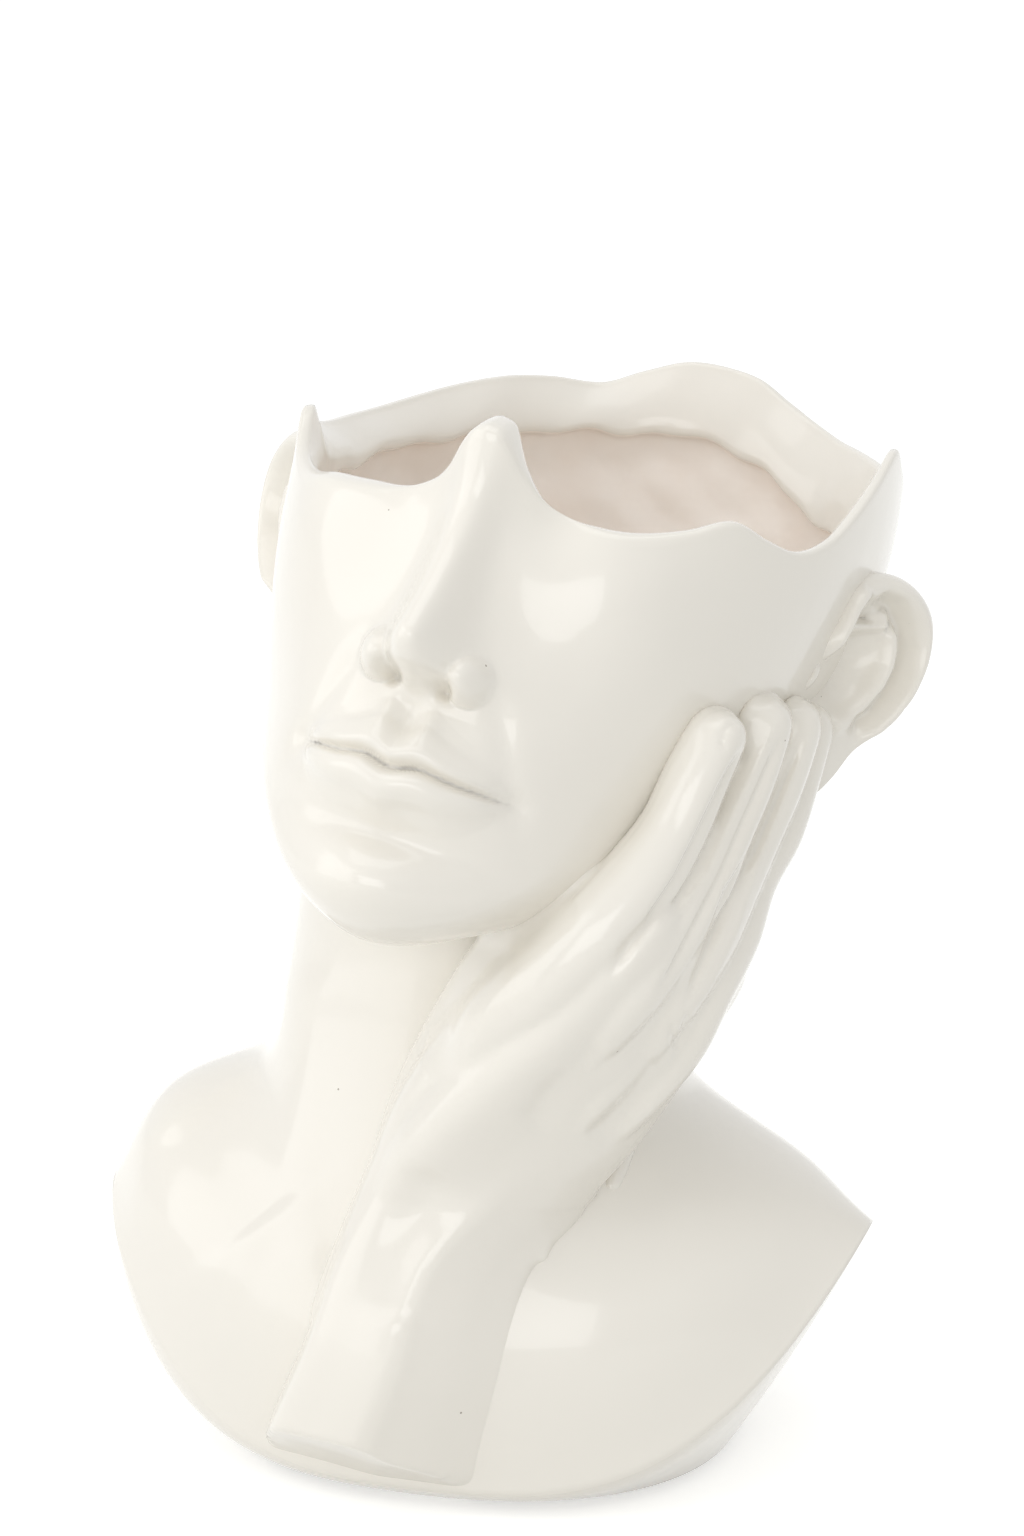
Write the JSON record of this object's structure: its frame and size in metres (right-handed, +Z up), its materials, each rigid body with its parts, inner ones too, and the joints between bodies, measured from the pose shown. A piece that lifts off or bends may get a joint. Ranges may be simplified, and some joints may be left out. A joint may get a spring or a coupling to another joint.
{
  "type": "resin planter",
  "caption": "Hollow cast resin planter shaped as a bust: the open head leans its cheek on an upright hand, and a rubber plug closes the drain hole under the foot.",
  "frame": {"origin": "on the surface the planter stands on, under the middle of its bounding box", "axes": "+Z up, the chest faces -Y, +X is the figure's left, the side of the hand"},
  "size_m": [0.2284, 0.2418, 0.312],
  "materials": {
    "resin": "high gloss ivory white lacquer over cast resin",
    "foot_pad": "matt foam",
    "plug_rubber": "matt"
  },
  "bodies": {
    "casting": {"bust_casting": "resin", "hand_casting": "resin", "left_ear": "resin", "right_ear": "resin", "foot_pad_front_left": "foot_pad", "foot_pad_front_right": "foot_pad", "foot_pad_rear_left": "foot_pad", "foot_pad_rear_right": "foot_pad"},
    "plug": {"drain_plug": "plug_rubber"}
  },
  "joints": [
    {"name": "drain_plug_pull", "type": "slide", "parent": "casting", "child": "plug", "axis": [0, 0, -1], "range_m": [0, 0.022]}
  ]
}
